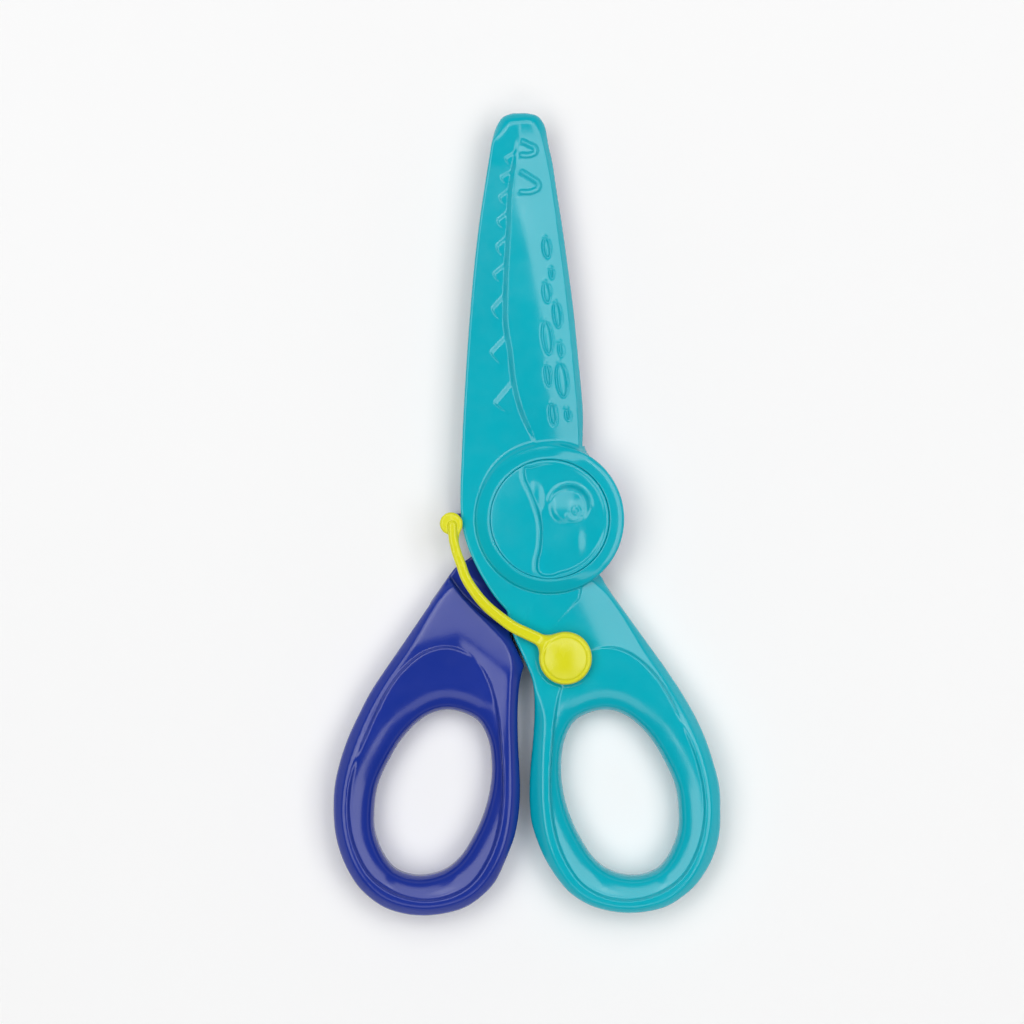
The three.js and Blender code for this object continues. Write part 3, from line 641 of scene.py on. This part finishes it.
def bulge(x, y, centre, crest, radii):
    """The top of an ellipsoid that stands up to a given crest."""
    out = ((x - centre[0]) / radii[0]) ** 2 + ((y - centre[1]) / radii[1]) ** 2
    return crest - radii[0] * (1 - np.sqrt(1 - np.clip(out, 0, 0.9)))


def cap_height(outline, x, y):
    """A domed disc. The eye's socket is sunk into its right side, behind a fine raised edge: its floor
    rises to a rounded cheek, and the eyelid lies in a shallow pit above."""
    r = np.hypot(x, y)
    plate = BOSS_TOP + 0.28 - 0.0042 * r * r
    socket = loop_distance(SOCKET_LOOP, x, y)
    rise = SOCKET_FLOOR + SOCKET_RISE * soft_positive(0.82 * (x + 1.5) + 0.57 * (y + 7), 2)
    floor = SOCKET_TOP - soft_positive(SOCKET_TOP - rise, 0.3)
    side = (x - CHEEK[0]) / np.where(x > CHEEK[0], CHEEK_WIDTH[1], CHEEK_WIDTH[0])
    floor = floor + CHEEK_HEIGHT * np.exp(-side ** 2 - ((y - CHEEK[1]) / CHEEK_LENGTH) ** 2)
    from_eye = np.hypot(x - EYE_CENTRE[0], y - EYE_CENTRE[1])
    pit = step(EYE_R, EYE_R - 1.5, from_eye) * step(-2.6, 1.0, y)
    floor = mix(floor, bulge(x, y, EYELID, EYELID_TOP, (EYELID_R, EYELID_R)), pit)
    brow = bulge(x, y, BROW, BROW_TOP, BROW_RADII)
    floor = floor + soft_positive(brow - floor, 0.12)
    height = mix(floor, plate, step(-0.45, 0, socket))
    height = height + SOCKET_EDGE_BEAD * np.exp(-((socket - 0.2) / 0.32) ** 2)
    height = height + ridge_profile(arc_distance(x, y, EYE_CENTRE, EYE_R, 0, 165), 0.35, 0.14)
    from_pupil = np.hypot(x - PUPIL[0], y - PUPIL[1])
    height = height - PUPIL_DEPTH * np.exp(-((from_pupil - PUPIL_R) / 0.25) ** 2)
    return height + ridge_profile(arc_distance(x, y, LOWER_LID, LOWER_LID_R, 205, 320), 0.3, 0.15)


cap_outline = [(-12.5, -12.5), (12.5, -12.5), (12.5, 12.5), (-12.5, 12.5)]
cap_top = HeightMap(cap_outline, function=cap_height, blur=1)


def cap_solid(x, y, z):
    body = round_max(np.hypot(x, y) - CAP_R, z - cap_top(x, y), 0.14)
    return np.maximum(body, CAP_FLOOR - z)


# ---- the rear half ----

rear_cover_map = Map(REAR_COVER_EDGE)
shoulder_map = Map(SHOULDER)
lug_map = Map(LUG, blur=0)
rear_pocket = Map([
    (-14, 14.3), (-14, 60), (-12, 82), (-2.9, 82), (-1.9, 76.2), (0.3, 64.2), (3.1, 42.6), (4.6, 21),
    (4.7, 14.3)], blur=0)


def rear_solid(x, y, z):
    """The hub, the blade cover and the handle in one, with the lug that the lever rests on."""
    r = np.hypot(x, y)
    cover = round_max(round_max(rear_cover_map(x, y), z - REAR_COVER_TOP, 0.3), REAR_COVER_BOTTOM - z, 0.8)
    hub = round_max(np.maximum(r - REAR_HUB_R, z - REAR_HUB_TOP), -z, 0.8)
    handle = rear_handle(x, y, z)
    front_room = np.maximum(r - REAR_FULL_DEPTH_R, SHOULDER_TOP - z)
    handle = round_max(round_max(handle, -front_room, 0.5), REAR_HUB_R - 1 - r, 0.2)
    shoulder = round_max(round_max(shoulder_map(x, y), z - SHOULDER_TOP, 0.3), -z, 0.4)
    lug = round_max(round_max(lug_map(x, y), z - MATING_Z, 0.2), REAR_COVER_BOTTOM - z, 0.3)
    solid = round_min(round_min(handle, shoulder, 0.4), hub, 0.5)
    solid = round_min(round_min(solid, cover, 0.8), lug, 0.3)
    solid = np.maximum(solid, -np.maximum(rear_pocket(x, y), REAR_POCKET_FLOOR - z))
    solid = np.maximum(solid, BORE_R - r)
    return round_max(solid, -np.maximum(r - REAR_CAP_POCKET_R, z - REAR_CAP_POCKET_TOP), 0.2)


# ---- the spring lever ----

arm_line = smooth(ARM, chord=0.5)
ARM_TOP = 10.6
ARM_HALF_WIDTH, ARM_WIDENING = 0.9, 0.35
KNOB_TOP, KNOB_CROWN = 11.8, 0.034
KNOB_GROOVE_R, KNOB_GROOVE_DEPTH = 4.45, 0.16
TIP_R, TIP_TOP, WEB_TOP = 2.25, 9.85, 9.75
PEG_R, PEG_BOTTOM = 0.9, 3.2
POST_R, POST_BOTTOM = 2.6, 2.9
PEG_AND_POST_TOP = 9.5
SCREW_HOLE_R, SCREW_HOLE_TOP = 1.2, 8


def along_arm(points, x, y):
    """Distance from the arm's middle line, less its half width, which grows towards the knob."""
    best = np.full(x.shape, 1e9)
    lengths = np.linspace(0, 1, len(arm_line) - 1)
    for (ax, ay), (bx, by), share in zip(arm_line, arm_line[1:], lengths):
        ex, ey = bx - ax, by - ay
        t = np.clip(((x - ax) * ex + (y - ay) * ey) / (ex * ex + ey * ey), 0, 1)
        half = ARM_HALF_WIDTH + ARM_WIDENING * share
        best = np.minimum(best, np.hypot(x - ax - ex * t, y - ay - ey * t) - half)
    return best


class FineMap(Map):
    """A map with a finer grid, for narrow shapes."""
    STEP = 0.1


arm_map = FineMap(arm_line, function=along_arm, blur=2)
web_map = Map([(-19.6, 1.0), (-17.5, -0.2), (-17.45, -1.6), (-18.0, -3.3), (-18.1, -5.0), (-19.2, -4.4)])


def lever_solid(x, y, z):
    """A domed knob on a post, a curved arm, and a round end with a peg that hooks behind the lug."""
    knob_r = np.hypot(x - LEVER_PIVOT[0], y - LEVER_PIVOT[1])
    tip_r = np.hypot(x - LEVER_TIP[0], y - LEVER_TIP[1])
    under = ARM_BOTTOM - z
    arm = round_max(round_max(arm_map(x, y), z - ARM_TOP, 0.7), under, 0.4)
    groove = KNOB_GROOVE_DEPTH * np.exp(-((knob_r - KNOB_GROOVE_R) / 0.22) ** 2)
    dome = KNOB_TOP - KNOB_CROWN * knob_r ** 2 - groove
    knob = round_max(round_max(knob_r - KNOB_R, z - dome, 0.7), under, 0.3)
    web = round_max(web_map(x, y), z - WEB_TOP, 0.35)
    tip = round_max(round_min(round_max(tip_r - TIP_R, z - TIP_TOP, 0.6), web, 0.4), under, 0.5)
    solid = round_min(arm, tip, 0.15)
    solid = round_min(solid, knob, 1.6)
    peg = np.maximum(round_max(tip_r - PEG_R, PEG_BOTTOM - z, 0.3), z - PEG_AND_POST_TOP)
    post = np.maximum(round_max(knob_r - POST_R, POST_BOTTOM - z, 0.2), z - PEG_AND_POST_TOP)
    solid = round_min(np.minimum(solid, post), peg, 0.5)
    return np.maximum(solid, -np.maximum(knob_r - SCREW_HOLE_R, z - SCREW_HOLE_TOP))


# ---- blades, caps and screws ----

WAVE_HEIGHT, WAVE_PITCH = 0.5, 5
BLADE_THICKNESS, BLADE_CLEARANCE = 0.8, 0.15
BLADE_HEEL_R = 17.5
GRIND_SLOPE, GRIND_WIDTH = 0.4, 1.3
PIN_HOLE_R = 1.02
FRONT_CUTTING_EDGE = [(6.4, 21), (4.4, 42.6), (1.6, 64.2), (-0.6, 76.6), (-1.4, 79.2)]
FRONT_HELD_EDGE = [(-8.7, 21), (-8.6, 42.6), (-8.4, 64.2), (-7.9, 76.6)]
REAR_CUTTING_EDGE = [(-9.9, 21), (-10.5, 42.6), (-9.8, 66), (-9.1, 77.2)]
REAR_HELD_EDGE = [(4.1, 21), (2.6, 42.6), (-0.2, 64.2), (-2.4, 76.2)]


class Blade:
    """A corrugated steel strip. Its waves run in circles about the pivot, and its cutting edge is ground."""

    def __init__(self, cutting_edge, held_edge, side, name):
        self.point_r = node_box(name)[1][1]
        self.cutting_edge = [(cutting_edge[0][0], 10), *cutting_edge, (cutting_edge[-1][0], 84)]
        self.held_edge = [(held_edge[0][0], 10), *held_edge, (held_edge[-1][0], 84)]
        self.outline = Map(np.array([*self.cutting_edge, *self.held_edge[::-1]]), blur=0)
        self.side = side
        self.middle = MATING_Z + side * (BLADE_CLEARANCE + BLADE_THICKNESS / 2)
        self.pins = [sum(node_box(f"{name}_pin_{i}"))[:2] / 2 for i in (1, 2, 3)]

    def __call__(self, x, y, z):
        r = np.hypot(x, y)
        phase = 2 * math.pi * r / WAVE_PITCH
        slope = WAVE_HEIGHT * 2 * math.pi / WAVE_PITCH * np.cos(phase)
        out = (z - self.middle - WAVE_HEIGHT * np.sin(phase)) * self.side
        ground = GRIND_SLOPE * np.maximum(GRIND_WIDTH - line_distance(self.cutting_edge, x, y), 0)
        half = BLADE_THICKNESS / 2
        steepness = np.hypot(1, slope)
        faces = np.maximum((out - half + ground) / steepness, (-out - half) / steepness)
        ends = np.maximum(BLADE_HEEL_R - r, r - self.point_r)
        solid = round_max(faces, np.maximum(self.outline(x, y), ends), 0.1)
        for px, py in self.pins:
            solid = np.maximum(solid, PIN_HOLE_R - np.hypot(x - px, y - py))
        return solid


MARK_DEPTH, MARK_R = 0.2, 0.9
RING_GROOVE_DEPTH, RING_GROOVE_R, RING_GROOVE_WIDTH = 0.25, 6.8, 0.35


def rear_cap_solid(x, y, z):
    """A plain disc with a shallow ring groove and a gate mark at its centre."""
    r = np.hypot(x, y)
    low, high = node_box("rear_cap")
    groove = RING_GROOVE_DEPTH * np.exp(-((r - RING_GROOVE_R) / RING_GROOVE_WIDTH) ** 2)
    groove = groove + MARK_DEPTH * np.exp(-(r / MARK_R) ** 2)
    body = round_max(r - high[0], low[2] + groove - z, 0.35)
    return np.maximum(body, z - high[2])


HEAD_R, HEAD_TOP = 2.9, 1.8
CROSS_REACH, CROSS_HALF_WIDTH, CROSS_DEPTH = 1.5, 0.32, 0.8
SHANK_R = 1.1


def lever_screw_solid(x, y, z):
    """A pan head with a cross recess, and a plain shank."""
    low, high = node_box("lever_screw")
    u, v = x - LEVER_PIVOT[0], y - LEVER_PIVOT[1]
    r = np.hypot(u, v)
    head = round_max(round_max(r - HEAD_R, low[2] - z, 0.45), z - HEAD_TOP, 0.1)
    across = np.maximum(abs(u) - CROSS_REACH, abs(v) - CROSS_HALF_WIDTH)
    upright = np.maximum(abs(v) - CROSS_REACH, abs(u) - CROSS_HALF_WIDTH)
    recess = np.maximum(np.minimum(across, upright), z - low[2] - CROSS_DEPTH)
    shank = np.maximum(r - SHANK_R, np.maximum(z - high[2], 1 - z))
    return np.minimum(round_max(head, -recess, 0.08), shank)


# ---- materials ----

def new_material(name):
    material = bpy.data.materials.new(name)
    material.use_nodes = True
    tree = material.node_tree
    shader = tree.nodes["Principled BSDF"]
    place = tree.nodes.new("ShaderNodeTexCoord").outputs["Object"]
    return material, tree, shader, place


def noise(tree, place, scale, detail=4, stretch=None):
    """A noise pattern whose features are about 1/scale metres wide."""
    if stretch:
        mapping = tree.nodes.new("ShaderNodeMapping")
        mapping.inputs["Scale"].default_value = stretch
        tree.links.new(place, mapping.inputs["Vector"])
        place = mapping.outputs["Vector"]
    node = tree.nodes.new("ShaderNodeTexNoise")
    node.inputs["Scale"].default_value = scale
    node.inputs["Detail"].default_value = detail
    tree.links.new(place, node.inputs["Vector"])
    return node.outputs["Fac"]


def ramp(tree, value, low, high, out_low, out_high):
    node = tree.nodes.new("ShaderNodeMapRange")
    for socket, number in zip(("From Min", "From Max", "To Min", "To Max"), (low, high, out_low, out_high)):
        node.inputs[socket].default_value = number
    tree.links.new(value, node.inputs["Value"])
    return node.outputs["Result"]


def blend_colours(tree, share, first, second):
    node = tree.nodes.new("ShaderNodeMix")
    node.data_type = "RGBA"
    node.inputs["A"].default_value = (*first, 1)
    node.inputs["B"].default_value = (*second, 1)
    tree.links.new(share, node.inputs["Factor"])
    return node.outputs["Result"]


def bump(tree, shader, heights):
    """Adds up bumps, each a pattern with its depth in metres."""
    normal = None
    for value, depth in heights:
        node = tree.nodes.new("ShaderNodeBump")
        node.inputs["Strength"].default_value = 1
        node.inputs["Distance"].default_value = depth
        tree.links.new(value, node.inputs["Height"])
        if normal:
            tree.links.new(normal, node.inputs["Normal"])
        normal = node.outputs["Normal"]
    tree.links.new(normal, shader.inputs["Normal"])


def add(tree, a, b):
    node = tree.nodes.new("ShaderNodeMath")
    node.operation = "ADD"
    tree.links.new(a, node.inputs[0])
    tree.links.new(b, node.inputs[1])
    return node.outputs["Value"]


def moulded_plastic(name, colour, shade, gloss):
    """Glossy moulded plastic: faint clouding of the colour, a fine skin, and hairline handling marks."""
    material, tree, shader, place = new_material(name)
    clouds = ramp(tree, noise(tree, place, 60), 0.35, 0.65, 0, 1)
    tree.links.new(blend_colours(tree, clouds, colour, shade), shader.inputs["Base Color"])
    marks = ramp(tree, noise(tree, place, 500, 2, stretch=(9, 1, 1)), 0.68, 0.76, 0, 0.05)
    skin_grain = ramp(tree, noise(tree, place, 260, 3), 0.3, 0.7, gloss - 0.03, gloss + 0.04)
    tree.links.new(add(tree, skin_grain, marks), shader.inputs["Roughness"])
    bump(tree, shader, [(noise(tree, place, 2400, 2), 0.0000012), (noise(tree, place, 150, 2), 0.000012)])
    shader.inputs["IOR"].default_value = 1.5
    shader.inputs["Specular IOR Level"].default_value = 0.52
    return material


def steel(name, colour, brushing, gloss):
    """Steel with fine brush lines, stretched along X or Y."""
    material, tree, shader, place = new_material(name)
    lines = noise(tree, place, 900, 3, stretch=brushing)
    tone = ramp(tree, lines, 0.3, 0.7, 0, 1)
    darker = tuple(0.82 * c for c in colour)
    tree.links.new(blend_colours(tree, tone, darker, colour), shader.inputs["Base Color"])
    tree.links.new(ramp(tree, lines, 0.25, 0.75, gloss - 0.06, gloss + 0.1), shader.inputs["Roughness"])
    bump(tree, shader, [(lines, 0.000006)])
    shader.inputs["Metallic"].default_value = 1
    return material


TEAL = moulded_plastic("teal_plastic", (0.0, 0.435, 0.535), (0.0, 0.413, 0.512), 0.17)
BLUE = moulded_plastic("blue_plastic", (0.011, 0.033, 0.305), (0.009, 0.030, 0.282), 0.17)
LIME = moulded_plastic("lime_plastic", (0.725, 0.715, 0.006), (0.700, 0.690, 0.005), 0.25)
BLADE_STEEL = steel("blade_steel", (0.66, 0.67, 0.69), (0.12, 2.5, 1), 0.24)
PIN_STEEL = steel("pin_steel", (0.56, 0.57, 0.59), (1, 1, 0.3), 0.34)
NYLON = moulded_plastic("nylon", (0.78, 0.77, 0.71), (0.74, 0.73, 0.67), 0.48)


# ---- the assembly ----

def piece(name, solid, node, material, body, cell=None, grow=0):
    """A skin that takes the place of a CAD node."""
    low, high = node_box(node)
    obj = skin(name, solid, low - grow, high + grow, cell)
    obj.data.materials.append(material)
    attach(obj, body)
    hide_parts(node)


piece("front_half_skin", front_solid, "front_body", TEAL, "front_half",
      cell=FINE_CELL, grow=0.9)
piece("eye_cap_skin", cap_solid, "eye_cap", TEAL, "front_half", cell=CAP_CELL, grow=0.6)
piece("rear_half_skin", rear_solid, "rear_body", BLUE, "rear_half", grow=0.5)
piece("rear_cap_skin", rear_cap_solid, "rear_cap", BLUE, "rear_half", cell=CAP_CELL)
piece("spring_lever_skin", lever_solid, "spring_lever", LIME, "lever",
      cell=LEVER_CELL, grow=0.2)
piece("lever_screw_skin", lever_screw_solid, "lever_screw", PIN_STEEL, "lever", cell=SCREW_CELL)
piece("front_blade_strip", Blade(FRONT_CUTTING_EDGE, FRONT_HELD_EDGE, 1, "front_blade"), "front_blade",
      BLADE_STEEL, "front_half", cell=BLADE_CELL)
piece("rear_blade_strip", Blade(REAR_CUTTING_EDGE, REAR_HELD_EDGE, -1, "rear_blade"), "rear_blade",
      BLADE_STEEL, "rear_half", cell=BLADE_CELL)

NODE_MATERIALS = {"pin_steel": PIN_STEEL, "nylon": NYLON}
for subpart in frame["record"]["subparts"]:
    node = frame["nodes"][subpart["node"]]
    if not node.hide_render:
        node.data.materials.clear()
        node.data.materials.append(NODE_MATERIALS[subpart["material_slot"]])


# ---- floor, light and camera ----

FLOOR_REACH, FLOOR_Z = 3.0, -0.0003


def make_floor():
    corners = [(-1, -1), (1, -1), (1, 1), (-1, 1)]
    mesh = bpy.data.meshes.new("floor")
    mesh.from_pydata([(FLOOR_REACH * x, FLOOR_REACH * y, FLOOR_Z) for x, y in corners], [], [(0, 1, 2, 3)])
    floor = bpy.data.objects.new("floor", mesh)
    bpy.context.scene.collection.objects.link(floor)
    material, tree, shader, place = new_material("floor_paint")
    tone = ramp(tree, noise(tree, place, 4), 0.3, 0.7, 0, 1)
    paint = blend_colours(tree, tone, (0.93, 0.93, 0.93), (0.945, 0.945, 0.945))
    tree.links.new(paint, shader.inputs["Base Color"])
    shader.inputs["Roughness"].default_value = 0.9
    shader.inputs["Specular IOR Level"].default_value = 0
    mesh.materials.append(material)


SOFTBOX_DISTANCE = 1.2
HORIZON_LIGHT, ZENITH_LIGHT = 0.55, 0.06


def make_softbox(name, azimuth, off_vertical, width, length, radiance):
    """A rectangular light that faces the object, `off_vertical` degrees from straight above it."""
    light = bpy.data.lights.new(name, "AREA")
    light.shape = "RECTANGLE"
    light.size, light.size_y = width, length
    light.energy = radiance * math.pi * width * length
    lamp = bpy.data.objects.new(name, light)
    tilt, turn = math.radians(off_vertical), math.radians(azimuth)
    lamp.location = (SOFTBOX_DISTANCE * math.sin(tilt) * math.cos(turn),
                     SOFTBOX_DISTANCE * math.sin(tilt) * math.sin(turn), SOFTBOX_DISTANCE * math.cos(tilt))
    lamp.rotation_euler = (0, tilt, turn)
    bpy.context.scene.collection.objects.link(lamp)


def make_light():
    """A pale horizon under a dim sky, and four softboxes."""
    world = bpy.data.worlds.new("studio")
    world.use_nodes = True
    tree = world.node_tree
    background = tree.nodes["Background"]
    background.inputs["Color"].default_value = (1, 1, 1, 1)
    place = tree.nodes.new("ShaderNodeTexCoord")
    parts = tree.nodes.new("ShaderNodeSeparateXYZ")
    tree.links.new(place.outputs["Generated"], parts.inputs[0])
    strength = ramp(tree, parts.outputs["Z"], 0.2, 0.45, HORIZON_LIGHT, ZENITH_LIGHT)
    tree.links.new(strength, background.inputs["Strength"])
    bpy.context.scene.world = world
    make_softbox("right_softbox", 4, 29, 0.64, 1.1, 2.64)
    make_softbox("left_softbox", 172, 29, 0.64, 1.1, 2.64)
    make_softbox("top_softbox", 90, 29, 0.68, 0.8, 2.17)
    make_softbox("near_softbox", -90, 36, 0.42, 1.0, 1.4)


FRAME_WIDTH = 204.8 * MM             # what the picture spans at the object
FRAME_CENTRE = (-7.5 * MM, 1.4 * MM)
MIDDLE_Z = 6 * MM
LENS, SENSOR = 85, 36


def make_camera():
    camera_data = bpy.data.cameras.new("camera")
    camera_data.lens = LENS
    camera_data.sensor_width = SENSOR
    camera = bpy.data.objects.new("camera", camera_data)
    camera.location = (*FRAME_CENTRE, MIDDLE_Z + FRAME_WIDTH * LENS / SENSOR)
    bpy.context.scene.collection.objects.link(camera)
    bpy.context.scene.camera = camera


make_floor()
make_light()
make_camera()
bpy.context.scene.view_settings.view_transform = "Standard"
